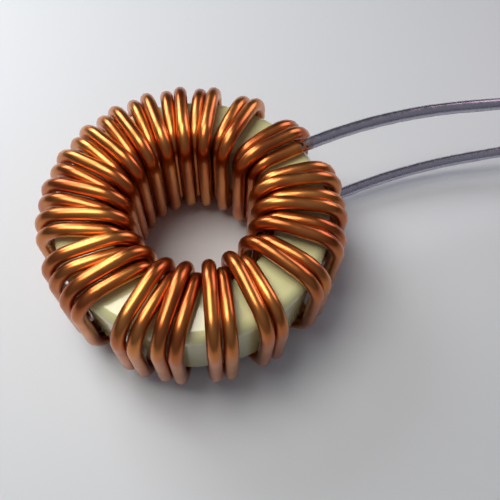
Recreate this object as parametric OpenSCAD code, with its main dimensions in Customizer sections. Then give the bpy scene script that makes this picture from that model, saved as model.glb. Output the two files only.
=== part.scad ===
// Toroidal inductor: one enamelled wire wound on a coated powder ring, with two tinned leads.
// Millimetres. The ring's axis is Z, the bottom runs of the wire lie on Z = 0, and the leads end along +X.

/* [Core] */
// Outside diameter of the coated ring
core_outer_d = 33.0; // [26:0.5:40]
// Inside diameter of the coated ring
core_inner_d = 19.8; // [18:0.2:24]
// Height of the coated ring
core_height = 11.1; // [8:0.1:16]
// Radius of the ring's rounded edges
core_edge_r = 1.3; // [0.8:0.1:2]

/* [Wire] */
// Diameter of the wire over its enamel
wire_d = 1.7; // [1.2:0.05:1.75]
// How much thinner the straight lengths are, because winding stretches them
stretch = 0.02; // [0.01:0.01:0.05]
// Diameter of the wire where its enamel is scraped off and it is tinned
tinned_d = 1.6; // [1.1:0.02:1.66]
// Room between the wire and the ring where it lies against it
seat_clearance = 0.04; // [0.02:0.01:0.1]

/* [Turns] */
// Number of times the wire goes over the top of the ring
turns = 41; // [20:1:41]
// Angle of the first inner leg, from +X
first_inner_angle = 15.5; // [10:0.5:20]
// Angle between neighbouring inner legs
inner_pitch = 8.16; // [8:0.02:8.8]
// How much further into the hole every second inner leg stands
inner_stagger = 1.3; // [1.3:0.05:1.5]
// How much higher every second run rides, because the bore is too crowded for all to lie on the ring
run_lift = 1.2; // [1.2:0.05:1.4]
// Angle of the first outer leg, from +X
first_outer_angle = 12.2; // [8:0.1:12.5]
// Angle between neighbouring outer legs
outer_pitch = 7.4; // [7.2:0.1:7.6]
// Turns that stand apart from the next one; a turn named twice stands twice as far
wide_after = [6, 8, 8, 10, 12, 16, 16, 20, 36, 38, 38];
// Extra angle of one such wide gap at the outer legs
wide_gap = 4.8; // [4:0.1:5]
// Share of a wide gap that reaches the inner legs
wide_gap_inner_share = 0.38; // [0.3:0.01:0.4]
// Angle by which the outer legs of a pair lean together
pair_squeeze = 0.7; // [0:0.1:1]
// Room between the ring's side and the outer legs
leg_standoff = 0.55; // [0.3:0.05:1]

/* [Leads] */
// Distance from the ring's axis to the cut ends of the leads
lead_reach = 47; // [44:0.5:70]
// Radius of the long curve in both leads
lead_curve_r = 65; // [40:1:70]
// Direction in which the lower lead leaves under the ring
lower_heading = 20; // [19:0.5:22]
// Length of enamelled wire from the lower lead's inner leg
lower_enamelled = 10.8; // [10:0.1:14]
// Angle by which the plane of the lower lead's curve leans up from the table
lower_lean = 20; // [0:1:30]
// Direction in which the upper lead leaves over the ring
upper_heading = 20.5; // [16:0.5:26]
// Length of enamelled wire from the upper lead's inner leg
upper_enamelled = 6.2; // [4:0.1:8]

/* [Hidden] */
wire_r = wire_d / 2;
seat = wire_r + seat_clearance;
half_h = core_height / 2 + seat;
inner_bend_r = core_edge_r + seat;
inner_leg_r = core_inner_d / 2 - seat;
outer_leg_r = core_outer_d / 2 + leg_standoff + wire_r;
outer_bend_r = core_edge_r + leg_standoff + wire_r;
middle_z = half_h + run_lift + wire_r;
straight_d = wire_d - stretch;
sink = 0.05;
enamel_color = "#B5652B";
coat_color = "#D3D79C";
tin_color = "#A9A6B0";
$fn = 48;

// Route of the turns: odd turns lie against the ring's bore, even turns stand further into the hole
function polar(r, a) = [r * cos(a), r * sin(a)];
function is_second(i) = i % 2 == 0;
function opened(i) = wide_gap * len([for (k = wide_after) if (k < i) k]);
function inner_angle(i) = first_inner_angle - (i - 1) * inner_pitch - wide_gap_inner_share * opened(i);
function inner_end(i) = polar(inner_leg_r - (is_second(i) ? inner_stagger : 0), inner_angle(i));
function squeeze(i) = is_second(i) ? pair_squeeze : -pair_squeeze;
function outer_angle(i) = first_outer_angle - (i - 1) * outer_pitch - opened(i) + squeeze(i);
function outer_end(i) = polar(outer_leg_r, outer_angle(i));
function heading(p, q) = atan2(q.y - p.y, q.x - p.x);

// Height of a run over the ring's middle plane, which is the depth of a run under it
function run_h(i) = half_h + (is_second(i) ? run_lift : 0);

// An upright leg between two bends, whose ends run on into them
module leg(from, to) {
  translate([0, 0, from - sink])
    cylinder(d = straight_d, h = to - from + 2 * sink);
}

// A run along +X between two bends
module run(from, to) {
  rotate([0, 90, 0])
    leg(from, to);
}

// A quarter bend in the XZ plane, from the top of a leg at +X to the end of a run at +Z
module quarter_bend(r) {
  rotate([90, 0, 0])
    rotate_extrude(angle = 90)
      translate([r, 0])
        circle(d = wire_d);
}

// A quarter bend from a leg that ends at the origin to a run towards +X
module leg_to_run() {
  translate([inner_bend_r, 0, 0])
    rotate([0, -90, 0])
      quarter_bend(inner_bend_r);
}

// The top half of a turn: leg up the bore, over the ring and down its side
module over(i) {
  p = inner_end(i);
  q = outer_end(i);
  l = norm(q - p);
  top = run_h(i);
  translate([p.x, p.y, middle_z])
    rotate([0, 0, heading(p, q)]) {
      leg(inner_bend_r - top, top - inner_bend_r);
      translate([0, 0, top - inner_bend_r])
        leg_to_run();
      translate([0, 0, top])
        run(inner_bend_r, l - outer_bend_r);
      translate([l - outer_bend_r, 0, top - outer_bend_r])
        quarter_bend(outer_bend_r);
      translate([l, 0, 0])
        leg(outer_bend_r - run_h(i + 1), top - outer_bend_r);
    }
}

// The bottom half of a turn: from the foot of outer leg i, under the ring, to inner leg i + 1
module under(i) {
  p = inner_end(i + 1);
  q = outer_end(i);
  l = norm(q - p);
  depth = run_h(i + 1);
  translate([p.x, p.y, middle_z])
    rotate([0, 0, heading(p, q)])
      rotate([180, 0, 0]) {
        translate([0, 0, depth - inner_bend_r])
          leg_to_run();
        translate([0, 0, depth])
          run(inner_bend_r, l - outer_bend_r);
        translate([l - outer_bend_r, 0, depth - outer_bend_r])
          quarter_bend(outer_bend_r);
      }
}

// The lower lead's enamelled start, from the foot of the first inner leg
module lower_start() {
  p = inner_end(1);
  translate([p.x, p.y, middle_z])
    rotate([0, 0, lower_heading])
      rotate([180, 0, 0]) {
        translate([0, 0, half_h - inner_bend_r])
          leg_to_run();
        translate([0, 0, half_h])
          run(inner_bend_r, lower_enamelled - sink);
      }
}

// The upper lead's enamelled start, with the last inner leg
module upper_start() {
  p = inner_end(turns);
  translate([p.x, p.y, middle_z])
    rotate([0, 0, upper_heading]) {
      leg(inner_bend_r - run_h(turns), half_h - inner_bend_r);
      translate([0, 0, half_h - inner_bend_r])
        leg_to_run();
      translate([0, 0, half_h])
        run(inner_bend_r, upper_enamelled - sink);
    }
}

// A lead from the origin: its long curve to the right from +X by the angle a, and a straight end
module lead(a, l) {
  translate([lead_curve_r * sin(a), lead_curve_r * (cos(a) - 1), 0])
    rotate([0, 0, -a]) {
      translate([0, -lead_curve_r, 0])
        rotate([0, 0, 90])
          rotate_extrude(angle = a, $fn = 360)
            translate([lead_curve_r, 0])
              circle(d = tinned_d);
      rotate([0, 90, 0])
        rotate([0, 0, 90])
          cylinder(d = tinned_d, h = l);
    }
}

module core() {
  width = (core_outer_d - core_inner_d) / 2;
  corners = [core_edge_r, width - core_edge_r];
  color(coat_color)
    translate([0, 0, middle_z - core_height / 2])
      rotate_extrude($fn = 180)
        translate([core_inner_d / 2, 0]) {
          translate([core_edge_r, 0])
            square([width - 2 * core_edge_r, core_height]);
          translate([0, core_edge_r])
            square([width, core_height - 2 * core_edge_r]);
          for (x = corners, y = [core_edge_r, core_height - core_edge_r])
            translate([x, y])
              circle(r = core_edge_r);
        }
}

module winding() {
  color(enamel_color) {
    for (i = [1 : turns - 1])
      over(i);
    for (i = [1 : turns - 1])
      under(i);
    lower_start();
    upper_start();
  }
}

module lower_lead() {
  p = inner_end(1) + polar(lower_enamelled, lower_heading);
  sideways = lead_curve_r * (1 - cos(lower_heading)) * cos(lower_lean);
  curve_x = lead_curve_r * sin(lower_heading) * cos(lower_heading) + sideways * sin(lower_heading);
  color(tin_color)
    translate([p.x, p.y, middle_z - half_h])
      rotate([0, 0, lower_heading])
        rotate([-lower_lean, 0, 0])
          lead(lower_heading, lead_reach - p.x - curve_x);
}

module upper_lead() {
  p = inner_end(turns) + polar(upper_enamelled, upper_heading);
  color(tin_color)
    translate([p.x, p.y, middle_z + half_h])
      rotate([0, 0, upper_heading])
        lead(upper_heading, lead_reach - p.x - lead_curve_r * sin(upper_heading));
}

core();
winding();
lower_lead();
upper_lead();
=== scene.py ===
import math

import bpy
from mathutils import Matrix, Vector
from mathutils.kdtree import KDTree


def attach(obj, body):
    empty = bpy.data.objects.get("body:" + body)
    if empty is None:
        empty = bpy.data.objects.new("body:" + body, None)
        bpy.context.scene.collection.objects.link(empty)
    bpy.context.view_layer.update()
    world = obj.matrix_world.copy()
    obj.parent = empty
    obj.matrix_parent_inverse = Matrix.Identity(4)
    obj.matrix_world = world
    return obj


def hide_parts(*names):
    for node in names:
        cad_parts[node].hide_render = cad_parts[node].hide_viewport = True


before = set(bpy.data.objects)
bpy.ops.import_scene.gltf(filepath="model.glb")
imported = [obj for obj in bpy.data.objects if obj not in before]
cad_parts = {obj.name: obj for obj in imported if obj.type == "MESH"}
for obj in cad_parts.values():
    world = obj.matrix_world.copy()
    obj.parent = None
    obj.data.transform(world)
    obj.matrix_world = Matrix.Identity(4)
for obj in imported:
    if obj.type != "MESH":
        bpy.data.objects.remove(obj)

bl_info = {
    "name": "Toroidal Inductor",
    "version": (1, 0, 0),
    "blender": (4, 5, 0),
    "location": "View3D > Sidebar > Toroid",
    "description": "Builds the looks of a toroidal inductor and the table it lies on",
    "category": "Object",
}

MM = 0.001
# Edges that bend by less than this are shaded smooth
SHARP_ANGLE = math.radians(50)
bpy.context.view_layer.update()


# Settings

def length(name, mm, text):
    return bpy.props.FloatProperty(
        name=name, description=text, default=mm * MM, min=0.0, subtype="DISTANCE", unit="LENGTH", precision=5)


def angle(name, degrees, text):
    return bpy.props.FloatProperty(
        name=name, description=text, default=math.radians(degrees), subtype="ANGLE", unit="ROTATION")


def linear(hex_colour):
    """Turns a hex sRGB colour into linear RGB with full alpha."""
    parts = [int(hex_colour[i:i + 2], 16) / 255 for i in (1, 3, 5)]
    return tuple(c / 12.92 if c <= 0.04045 else ((c + 0.055) / 1.055) ** 2.4 for c in parts) + (1.0,)


def colour(name, hex_colour, text):
    return bpy.props.FloatVectorProperty(
        name=name, description=text, default=linear(hex_colour), size=4, min=0.0, max=1.0, subtype="COLOR")


class ToroidSizes(bpy.types.PropertyGroup):
    core_outer_d: length("Ring outside", 33.0, "Outside diameter of the coated ring")
    core_inner_d: length("Ring inside", 19.8, "Inside diameter of the coated ring")
    core_height: length("Ring height", 11.1, "Height of the coated ring")
    core_edge_r: length("Ring edge", 1.3, "Radius of the ring's rounded edges")
    wire_d: length("Wire", 1.7, "Diameter of the wire over its enamel")
    tinned_d: length("Tinned wire", 1.6, "Diameter of the tinned leads")
    seat_clearance: length("Seat", 0.04, "Room between the wire and the ring")
    turns: bpy.props.IntProperty(
        name="Turns", description="Times the wire goes over the ring", default=41, min=3)
    first_inner_angle: angle("First inner leg", 15.5, "Angle of the first inner leg from +X")
    inner_pitch: angle("Inner pitch", 8.16, "Angle between neighbouring inner legs")
    inner_stagger: length("Inner stagger", 1.3, "How much further into the hole every second leg stands")
    run_lift: length("Run lift", 1.2, "How much higher every second run rides at the bore")
    run_fall: length("Run fall", 0.6, "How much of that lift a raised run loses on its way out")
    run_bow: length("Run bow", 0.5, "How much the other runs spring up from the ring's top")
    first_outer_angle: angle("First outer leg", 12.2, "Angle of the first outer leg from +X")
    outer_pitch: angle("Outer pitch", 7.4, "Angle between neighbouring outer legs")
    wide_gap: angle("Wide gap", 4.8, "Extra angle of a wide gap between turns")
    wide_gap_inner_share: bpy.props.FloatProperty(
        name="Wide gap inside", description="Share of a wide gap that reaches the bore",
        default=0.38, min=0.0, max=1.0, subtype="FACTOR")
    pair_squeeze: angle("Pair squeeze", 0.7, "Angle by which the outer legs of a pair lean together")
    leg_standoff: length("Leg standoff", 0.55, "Room between the ring's side and the outer legs")
    standoff_wave: length("Standoff wave", 0.05, "How much that room shrinks from turn to turn at most")
    bend_slack: length("Bend slack", 0.9, "How much rounder the bends are than a tight wire's")
    lead_reach: length("Lead reach", 47.0, "Distance from the ring's axis to the cut ends of the leads")
    lead_curve_r: length("Lead curve", 65.0, "Radius of the long curve in both leads")
    lower_heading: angle("Lower heading", 20.0, "Direction in which the lower lead leaves")
    lower_enamelled: length("Lower enamel", 10.8, "Length of enamelled wire under the ring")
    lower_lean: angle("Lower lean", 20.0, "Angle by which the plane of the lower lead's curve leans up")
    upper_heading: angle("Upper heading", 20.5, "Direction in which the upper lead leaves")
    upper_enamelled: length("Upper enamel", 6.2, "Length of enamelled wire over the ring")
    tin_wave: length("Tin wave", 0.03, "Unevenness of the solder's radius")


class ToroidLooks(bpy.types.PropertyGroup):
    enamel: colour("Enamel", "#DE904A", "Copper seen through clear amber enamel")
    enamel_deep: colour("Deep enamel", "#B2592A", "Copper under thicker, browner enamel")
    coat: colour("Ring coat", "#E2E1A8", "Pale yellow-green powder coat")
    coat_thin: colour("Thin coat", "#C3C98A", "Greener coat where it lies thin")
    tin: colour("Solder", "#BEBAC8", "Grey solder on the leads")
    scraped: colour("Scraped copper", "#D79A78", "Bare copper where the enamel is scraped off")
    burnt: colour("Burnt enamel", "#5A2E1C", "Rest of scorched enamel where the tinning begins")
    table: colour("Table", "#DADDE2", "Pale table top")


# Route of the wire

def fillet(corners):
    """Turns corner points, each with a bend radius, into a dense line with round bends."""
    step = math.radians(9)
    no_bend = 1e-4
    line = [corners[0][0]]
    for (a, _), (b, radius), (c, _) in zip(corners, corners[1:], corners[2:]):
        u, v = (a - b).normalized(), (c - b).normalized()
        turn = math.pi - u.angle(v)
        if turn < no_bend:
            line.append(b)
            continue
        cut = radius * math.tan(turn / 2)
        start = b + u * cut
        inward = (v - u * u.dot(v)).normalized()
        centre = start + inward * radius
        count = max(2, math.ceil(turn / step))
        for k in range(count + 1):
            t = turn * k / count
            line.append(centre - inward * radius * math.cos(t) - u * radius * math.sin(t))
    line.append(corners[-1][0])
    return line


class Route:
    """Places of the legs, runs and leads, worked out from the sizes."""

    # Turns that stand apart from the next one; a turn named twice stands twice as far
    WIDE_AFTER = (6, 8, 8, 10, 12, 16, 16, 20, 36, 38, 38)
    # Angle that sets the standoff's wave from one turn to the next, so that no pattern shows
    WAVE_STEP = math.radians(137)
    # Shares of a run's length: where a raised one begins to fall, and where another is highest
    FLAT_TO = 0.4
    BOW_AT = 0.42
    # Radius of the gentle bend at either place
    BOW_R = 6.0 * MM
    # Points along a lead's long curve and along its straight end
    CURVE_STEPS = 60
    STRAIGHT_STEPS = 12

    def __init__(self, s):
        self.s = s
        self.wire_r = s.wire_d / 2
        seat = self.wire_r + s.seat_clearance
        self.half_h = s.core_height / 2 + seat
        self.tight_r = s.core_edge_r + seat
        self.inner_leg_r = s.core_inner_d / 2 - seat
        self.middle_z = self.half_h + s.run_lift + self.wire_r

    def polar(self, r, a):
        return Vector((r * math.cos(a), r * math.sin(a), 0.0))

    def is_second(self, i):
        return i % 2 == 0

    def opened(self, i):
        """By how much the wide gaps before a turn have moved it on."""
        return self.s.wide_gap * sum(k < i for k in self.WIDE_AFTER)

    def standoff(self, i):
        """Room between the ring's side and a turn's outer leg."""
        return self.s.leg_standoff - self.s.standoff_wave * (0.5 + 0.5 * math.sin(self.WAVE_STEP * i))

    def inner(self, i):
        r = self.inner_leg_r - (self.s.inner_stagger if self.is_second(i) else 0.0)
        shared = self.s.wide_gap_inner_share * self.opened(i)
        return self.polar(r, self.s.first_inner_angle - (i - 1) * self.s.inner_pitch - shared)

    def outer(self, i):
        lean = self.s.pair_squeeze if self.is_second(i) else -self.s.pair_squeeze
        a = self.s.first_outer_angle - (i - 1) * self.s.outer_pitch - self.opened(i) + lean
        return self.polar(self.s.core_outer_d / 2 + self.standoff(i) + self.wire_r, a)

    def outer_bend_r(self, i):
        return self.s.core_edge_r + self.standoff(i) + self.wire_r + self.s.bend_slack

    def inner_bend_r(self, i):
        return self.tight_r + (self.s.bend_slack if self.is_second(i) else 0.0)

    def near(self, i):
        """How far from the ring's middle plane a run lies at the bore."""
        return self.half_h + (self.s.run_lift if self.is_second(i) else 0.0)

    def far(self, i):
        """How far from the ring's middle plane a run lies at the ring's side."""
        return self.half_h + (self.s.run_lift - self.s.run_fall if self.is_second(i) else self.s.run_bow)

    def at(self, place, height):
        return Vector((place.x, place.y, self.middle_z + height))

    def crest(self, inner, outer, side):
        """The point of a run that stands furthest from the ring, outside the crowded bore."""
        if self.is_second(inner):
            share, lift = self.FLAT_TO, self.s.run_lift
        else:
            share, lift = self.BOW_AT, self.s.run_bow
        return self.at(self.inner(inner).lerp(self.outer(outer), share), side * (self.half_h + lift))

    def lower_start(self):
        return self.at(self.inner(1) + self.polar(self.s.lower_enamelled, self.s.lower_heading), -self.half_h)

    def upper_start(self):
        place = self.inner(self.s.turns) + self.polar(self.s.upper_enamelled, self.s.upper_heading)
        return self.at(place, self.half_h)

    def winding(self):
        """The enamelled wire: in under the ring, turn after turn over and under it, and out over its top."""
        last = self.s.turns
        corners = [(self.lower_start(), 0.0), (self.at(self.inner(1), -self.half_h), self.tight_r)]
        for i in range(1, last):
            corners.append((self.at(self.inner(i), self.near(i)), self.inner_bend_r(i)))
            corners.append((self.crest(i, i, 1), self.BOW_R))
            corners.append((self.at(self.outer(i), self.far(i)), self.outer_bend_r(i)))
            corners.append((self.at(self.outer(i), -self.far(i + 1)), self.outer_bend_r(i)))
            corners.append((self.crest(i + 1, i, -1), self.BOW_R))
            corners.append((self.at(self.inner(i + 1), -self.near(i + 1)), self.inner_bend_r(i + 1)))
        corners.append((self.at(self.inner(last), self.half_h), self.tight_r))
        corners.append((self.upper_start(), 0.0))
        return fillet(corners)

    def lead(self, start, heading, lean):
        """A lead from its start: a long curve to the right, in a plane that leans up, and a straight end."""
        turned = Matrix.Rotation(heading, 3, "Z") @ Matrix.Rotation(-lean, 3, "X")
        r = self.s.lead_curve_r
        line = []
        for k in range(self.CURVE_STEPS + 1):
            t = heading * k / self.CURVE_STEPS
            line.append(start + turned @ Vector((r * math.sin(t), r * (math.cos(t) - 1), 0)))
        end = line[-1]
        ahead = turned @ Vector((math.cos(heading), -math.sin(heading), 0))
        straight = self.s.lead_reach - end.x
        for k in range(1, self.STRAIGHT_STEPS + 1):
            line.append(end + ahead * straight * k / self.STRAIGHT_STEPS)
        return line


# Modelling helpers

def fresh(context):
    """Leaves nothing selected before a new piece is added."""
    if context.object and context.object.mode != "OBJECT":
        bpy.ops.object.mode_set(mode="OBJECT")
    bpy.ops.object.select_all(action="DESELECT")


def sweep(context, name, line, radius, swell=None, resolution=5):
    """Runs a round wire along a line and returns it as a closed mesh."""
    fresh(context)
    bpy.ops.curve.primitive_bezier_curve_add()
    obj = context.object
    obj.name = name
    data = obj.data
    data.splines.clear()
    spline = data.splines.new("POLY")
    spline.points.add(len(line) - 1)
    for k, (point, place) in enumerate(zip(spline.points, line)):
        point.co = (*place, 1.0)
        point.radius = swell(k) if swell else 1.0
    data.dimensions = "3D"
    data.twist_mode = "MINIMUM"
    data.bevel_depth = radius
    data.bevel_resolution = resolution
    data.use_fill_caps = True
    bpy.ops.object.convert(target="MESH")
    obj = context.object
    bpy.ops.object.mode_set(mode="EDIT")
    bpy.ops.mesh.select_all(action="SELECT")
    bpy.ops.mesh.normals_make_consistent(inside=False)
    bpy.ops.object.mode_set(mode="OBJECT")
    bpy.ops.object.shade_smooth_by_angle(angle=SHARP_ANGLE)
    return obj


def mark_length(obj, line):
    """Stores on each vertex how far along the wire it lies."""
    tree = KDTree(len(line))
    run = [0.0]
    for k, place in enumerate(line):
        tree.insert(place, k)
        if k:
            run.append(run[-1] + (place - line[k - 1]).length)
    tree.balance()
    along = obj.data.attributes.new("along", "FLOAT", "POINT")
    along.data.foreach_set("value", [run[tree.find(v.co)[1]] for v in obj.data.vertices])


def hand_over(obj, material, node):
    """Gives a finished piece its material, and the place of its CAD node on the body."""
    obj.data.materials.clear()
    obj.data.materials.append(material)
    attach(obj, "root")
    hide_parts(node)


# Materials

# Sockets of a Mix node that mixes colours, whose names repeat on it
FACTOR, FIRST, SECOND, MIXED = 0, 6, 7, 2


def add(tree, kind, inputs=None, **settings):
    """Adds a shader node, sets it up, and fills its inputs with values or links."""
    node = tree.nodes.new(kind)
    for key, value in settings.items():
        setattr(node, key, value)
    for key, value in (inputs or {}).items():
        if isinstance(value, bpy.types.NodeSocket):
            tree.links.new(value, node.inputs[key])
        else:
            node.inputs[key].default_value = value
    return node


def blank(name):
    """Starts a material, and returns it with its nodes and its object coordinates."""
    material = bpy.data.materials.new(name)
    material.use_nodes = True
    tree = material.node_tree
    tree.nodes.clear()
    place = add(tree, "ShaderNodeTexCoord").outputs["Object"]
    return material, tree, place


def close(tree, shader):
    add(tree, "ShaderNodeOutputMaterial", {"Surface": shader.outputs["BSDF"]})


def patches(tree, place, width, low, high, edges=(0.3, 0.7)):
    """A value that wanders between two ends, in uneven patches about as wide as given."""
    noise = add(tree, "ShaderNodeTexNoise", {"Vector": place, "Scale": 1 / width})
    held = add(tree, "ShaderNodeMapRange", {
        "Value": noise.outputs["Fac"], "From Min": edges[0], "From Max": edges[1],
        "To Min": low, "To Max": high})
    return held.outputs["Result"]


def enamelled_copper(looks):
    """Drawn copper under clear amber enamel: a warm metal glow with a soft pale gloss over it."""
    material, tree, place = blank("Enamelled copper")
    # The enamel is thicker in places, which browns the copper
    thin = patches(tree, place, 6.0 * MM, 0.0, 1.0)
    base = add(tree, "ShaderNodeMix", {
        FACTOR: thin, FIRST: looks.enamel_deep, SECOND: looks.enamel}, data_type="RGBA")
    # Handling leaves the gloss a little uneven
    rough = patches(tree, place, 0.9 * MM, 0.28, 0.34)
    shader = add(tree, "ShaderNodeBsdfPrincipled", {
        "Base Color": base.outputs[MIXED], "Metallic": 1.0, "Roughness": rough,
        "Coat Weight": 0.3, "Coat Roughness": 0.15, "Coat IOR": 1.5})
    close(tree, shader)
    return material


def ring_coat(looks):
    """Baked powder coat on the ring: pale and glossy, with a faint orange peel in its highlights."""
    material, tree, place = blank("Powder coat")
    # The coat thins and greens a little in wide patches
    thin = patches(tree, place, 5.0 * MM, 0.0, 0.25, edges=(0.4, 0.7))
    base = add(tree, "ShaderNodeMix", {
        FACTOR: thin, FIRST: looks.coat, SECOND: looks.coat_thin}, data_type="RGBA")
    peel = add(tree, "ShaderNodeTexNoise", {"Vector": place, "Scale": 1 / (0.8 * MM)})
    dents = add(tree, "ShaderNodeBump", {
        "Height": peel.outputs["Fac"], "Distance": 0.02 * MM, "Strength": 0.3})
    shader = add(tree, "ShaderNodeBsdfPrincipled", {
        "Base Color": base.outputs[MIXED], "Roughness": 0.25, "IOR": 1.5,
        "Coat Weight": 1.0, "Coat Roughness": 0.06, "Normal": dents.outputs["Normal"]})
    close(tree, shader)
    return material


def solder_tin(looks):
    """Dipped solder on the stripped wire: grey lumpy metal, with copper and scorched rests at its start."""
    material, tree, place = blank("Solder tin")
    along = add(tree, "ShaderNodeAttribute", attribute_name="along").outputs["Fac"]
    # The enamel was scraped off by hand, so copper and scorched rests end in a ragged edge
    reach = patches(tree, place, 0.8 * MM, 0.0, 2.0 * MM)
    ragged = add(tree, "ShaderNodeMath", {0: along, 1: reach}, operation="ADD")
    # Millimetres along the lead over which the copper fades out, and then the rests
    fades = ((1.8, 2.3), (2.0, 2.6))
    scraped, scorched = (
        add(tree, "ShaderNodeMapRange", {
            "Value": ragged.outputs["Value"], "From Min": start * MM, "From Max": end * MM,
            "To Min": 1.0, "To Max": 0.0}).outputs["Result"]
        for start, end in fades)
    rests = patches(tree, place, 0.4 * MM, 0.0, 1.0, edges=(0.52, 0.6))
    specks = add(tree, "ShaderNodeMath", {0: rests, 1: scorched}, operation="MULTIPLY")
    bare = add(tree, "ShaderNodeMix", {
        FACTOR: scraped, FIRST: looks.tin, SECOND: looks.scraped}, data_type="RGBA")
    base = add(tree, "ShaderNodeMix", {
        FACTOR: specks.outputs["Value"], FIRST: bare.outputs[MIXED], SECOND: looks.burnt}, data_type="RGBA")
    rough = patches(tree, place, 0.5 * MM, 0.2, 0.3)
    lumps = add(tree, "ShaderNodeTexNoise", {"Vector": place, "Scale": 1 / (0.9 * MM), "Detail": 1.0})
    dents = add(tree, "ShaderNodeBump", {
        "Height": lumps.outputs["Fac"], "Distance": 0.03 * MM, "Strength": 0.25})
    shader = add(tree, "ShaderNodeBsdfPrincipled", {
        "Base Color": base.outputs[MIXED], "Metallic": 0.95, "Roughness": rough,
        "Normal": dents.outputs["Normal"]})
    close(tree, shader)
    return material


def table_top(looks):
    """Matt pale laminate, so that the shadow lies soft on it."""
    material, tree, _ = blank("Pale laminate")
    shader = add(tree, "ShaderNodeBsdfPrincipled", {"Base Color": looks.table, "Roughness": 0.55})
    close(tree, shader)
    return material


# Operators

class TOROID_OT_core(bpy.types.Operator):
    """Spin the coated ring from its rounded section"""
    bl_idname = "toroid.core"
    bl_label = "Core"

    EDGE_SEGMENTS = 8
    SPIN_STEPS = 180
    MERGE_WITHIN = 0.001 * MM

    def execute(self, context):
        s = context.scene.toroid_sizes
        route = Route(s)
        fresh(context)
        bpy.ops.mesh.primitive_plane_add(size=1.0, enter_editmode=True)
        obj = context.object
        obj.name = "core_ring"
        width = (s.core_outer_d - s.core_inner_d) / 2
        middle = (s.core_outer_d + s.core_inner_d) / 4
        bpy.ops.mesh.select_all(action="SELECT")
        bpy.ops.transform.resize(value=(width, s.core_height, 1.0))
        bpy.ops.transform.rotate(value=-math.pi / 2, orient_axis="X", center_override=(0.0, 0.0, 0.0))
        bpy.ops.transform.translate(value=(middle, 0.0, route.middle_z))
        bpy.ops.mesh.bevel(
            affect="VERTICES", offset_type="OFFSET", offset=s.core_edge_r, segments=self.EDGE_SEGMENTS)
        bpy.ops.mesh.delete(type="ONLY_FACE")
        bpy.ops.mesh.select_all(action="SELECT")
        bpy.ops.mesh.spin(steps=self.SPIN_STEPS, angle=2 * math.pi, center=(0, 0, 0), axis=(0, 0, 1))
        bpy.ops.mesh.select_all(action="SELECT")
        bpy.ops.mesh.remove_doubles(threshold=self.MERGE_WITHIN)
        bpy.ops.mesh.normals_make_consistent(inside=False)
        bpy.ops.object.mode_set(mode="OBJECT")
        bpy.ops.object.shade_smooth_by_angle(angle=SHARP_ANGLE)
        hand_over(obj, ring_coat(context.scene.toroid_looks), "core")
        return {"FINISHED"}


class TOROID_OT_winding(bpy.types.Operator):
    """Run the enamelled wire round the ring, turn after turn"""
    bl_idname = "toroid.winding"
    bl_label = "Winding"

    def execute(self, context):
        route = Route(context.scene.toroid_sizes)
        obj = sweep(context, "enamelled_wire", route.winding(), route.wire_r)
        hand_over(obj, enamelled_copper(context.scene.toroid_looks), "winding")
        return {"FINISHED"}


class TOROID_OT_leads(bpy.types.Operator):
    """Add the two tinned leads, with lumpy solder"""
    bl_idname = "toroid.leads"
    bl_label = "Leads"

    # Two waves of the solder's radius, in radians from one point of a lead's line to the next
    SHORT_WAVE = 0.9
    LONG_WAVE = 0.37
    LONG_START = 1.0

    def execute(self, context):
        s = context.scene.toroid_sizes
        route = Route(s)
        material = solder_tin(context.scene.toroid_looks)
        wave = s.tin_wave / (s.tinned_d / 2)

        def swell(k):
            short = math.sin(k * self.SHORT_WAVE)
            long = math.sin(k * self.LONG_WAVE + self.LONG_START)
            return 1.0 - wave * (0.5 + 0.25 * short + 0.25 * long)

        leads = (
            ("lower_tinned", route.lead(route.lower_start(), s.lower_heading, s.lower_lean), "lower_lead"),
            ("upper_tinned", route.lead(route.upper_start(), s.upper_heading, 0.0), "upper_lead"),
        )
        for name, line, node in leads:
            obj = sweep(context, name, line, s.tinned_d / 2, swell, resolution=6)
            mark_length(obj, line)
            hand_over(obj, material, node)
        return {"FINISHED"}


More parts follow.
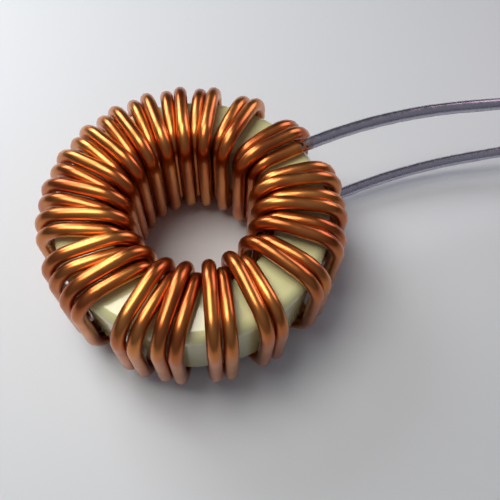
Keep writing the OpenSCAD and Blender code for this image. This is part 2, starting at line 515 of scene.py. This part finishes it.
class TOROID_OT_stage(bpy.types.Operator):
    """Set up the table, the lights and the camera"""
    bl_idname = "toroid.stage"
    bl_label = "Stage"

    TABLE_WIDTH = 1.2
    # Lights by name: place in metres, power in watts, width in metres, and colour
    LIGHTS = {
        "ceiling_light": ((-0.055, 0.03, 0.18), 0.225, 0.105, "#FFFAF0"),
        "window": ((-0.10, 0.14, 0.12), 0.195, 0.095, "#F8FBFF"),
        "pale_wall": ((0.17, 0.10, 0.10), 0.13, 0.12, "#F8D8E6"),
    }
    # The wall is far off, so it shows in the gloss and lights nothing else
    GLOSS_ONLY = ("pale_wall",)
    # The room is pale over the camera and dark at its far side
    PALE_SIDE = (-0.1, -0.5, 0.86)
    PALE_FROM, PALE_TO = 0.1, 0.95
    ROOM_DARK, ROOM_PALE = linear("#3A3D44"), linear("#94979F")
    ROOM_STRENGTH = 0.72
    # Camera: focal length and shift over the picture's width, tilt, roll, place and turn about Z
    FOCAL = 589.0 / 500
    SHIFT = (-0.002, -0.003)
    PITCH = math.radians(63.73)
    ROLL = math.radians(-4.2)
    PLACE = Vector((7.24, -34.78, 74.8)) * MM
    TURN = math.radians(11.3)
    SENSOR = 36.0

    def table(self, context):
        fresh(context)
        bpy.ops.mesh.primitive_plane_add(size=self.TABLE_WIDTH)
        obj = context.object
        obj.name = "table_top"
        obj.data.materials.append(table_top(context.scene.toroid_looks))

    def light(self, context, name, place, watts, width, hex_colour):
        fresh(context)
        bpy.ops.object.light_add(type="AREA", location=place)
        obj = context.object
        obj.name = name
        obj.data.energy = watts
        obj.data.size = width
        obj.data.color = linear(hex_colour)[:3]
        obj.rotation_euler = (-Vector(place)).to_track_quat("-Z", "Y").to_euler()
        obj.visible_diffuse = name not in self.GLOSS_ONLY

    def camera(self, context):
        fresh(context)
        bpy.ops.object.camera_add()
        obj = context.object
        ahead = Vector((0, math.cos(self.PITCH), -math.sin(self.PITCH)))
        right = Vector((1, 0, 0))
        down = ahead.cross(right)
        right, down = (right * math.cos(self.ROLL) + down * math.sin(self.ROLL),
                       down * math.cos(self.ROLL) - right * math.sin(self.ROLL))
        looking = Matrix((right, -down, -ahead)).transposed().to_4x4()
        obj.matrix_world = Matrix.Rotation(-self.TURN, 4, "Z") @ Matrix.Translation(self.PLACE) @ looking
        obj.data.sensor_width = self.SENSOR
        obj.data.lens = self.FOCAL * self.SENSOR
        obj.data.shift_x, obj.data.shift_y = self.SHIFT
        obj.data.clip_start = MM
        obj.data.dof.use_dof = False
        context.scene.camera = obj

    def sky(self, context):
        world = bpy.data.worlds.new("Room light")
        context.scene.world = world
        world.use_nodes = True
        tree = world.node_tree
        tree.nodes.clear()
        place = add(tree, "ShaderNodeTexCoord").outputs["Generated"]
        facing = add(tree, "ShaderNodeVectorMath", {0: place, 1: self.PALE_SIDE}, operation="DOT_PRODUCT")
        pale = add(tree, "ShaderNodeMapRange", {
            "Value": facing.outputs["Value"], "From Min": self.PALE_FROM, "From Max": self.PALE_TO})
        glow = add(tree, "ShaderNodeMix", {
            FACTOR: pale.outputs["Result"], FIRST: self.ROOM_DARK, SECOND: self.ROOM_PALE}, data_type="RGBA")
        back = add(tree, "ShaderNodeBackground", {
            "Color": glow.outputs[MIXED], "Strength": self.ROOM_STRENGTH})
        add(tree, "ShaderNodeOutputWorld", {"Surface": back.outputs["Background"]})

    def execute(self, context):
        self.table(context)
        self.sky(context)
        for name, (place, watts, width, hex_colour) in self.LIGHTS.items():
            self.light(context, name, place, watts, width, hex_colour)
        self.camera(context)
        context.scene.view_settings.view_transform = "Standard"
        return {"FINISHED"}


class TOROID_PT_panel(bpy.types.Panel):
    bl_label = "Toroidal Inductor"
    bl_idname = "TOROID_PT_panel"
    bl_space_type = "VIEW_3D"
    bl_region_type = "UI"
    bl_category = "Toroid"

    def draw(self, context):
        for group in (context.scene.toroid_sizes, context.scene.toroid_looks):
            box = self.layout.box()
            for key in group.__annotations__:
                box.prop(group, key)
        for op in OPERATORS:
            self.layout.operator(op.bl_idname)


OPERATORS = (TOROID_OT_core, TOROID_OT_winding, TOROID_OT_leads, TOROID_OT_stage)
CLASSES = (ToroidSizes, ToroidLooks, *OPERATORS, TOROID_PT_panel)


def register():
    for cls in CLASSES:
        bpy.utils.register_class(cls)
    bpy.types.Scene.toroid_sizes = bpy.props.PointerProperty(type=ToroidSizes)
    bpy.types.Scene.toroid_looks = bpy.props.PointerProperty(type=ToroidLooks)


def unregister():
    del bpy.types.Scene.toroid_looks
    del bpy.types.Scene.toroid_sizes
    for cls in reversed(CLASSES):
        bpy.utils.unregister_class(cls)


def main():
    register()
    bpy.ops.toroid.core()
    bpy.ops.toroid.winding()
    bpy.ops.toroid.leads()
    bpy.ops.toroid.stage()


if __name__ == "__main__":
    main()
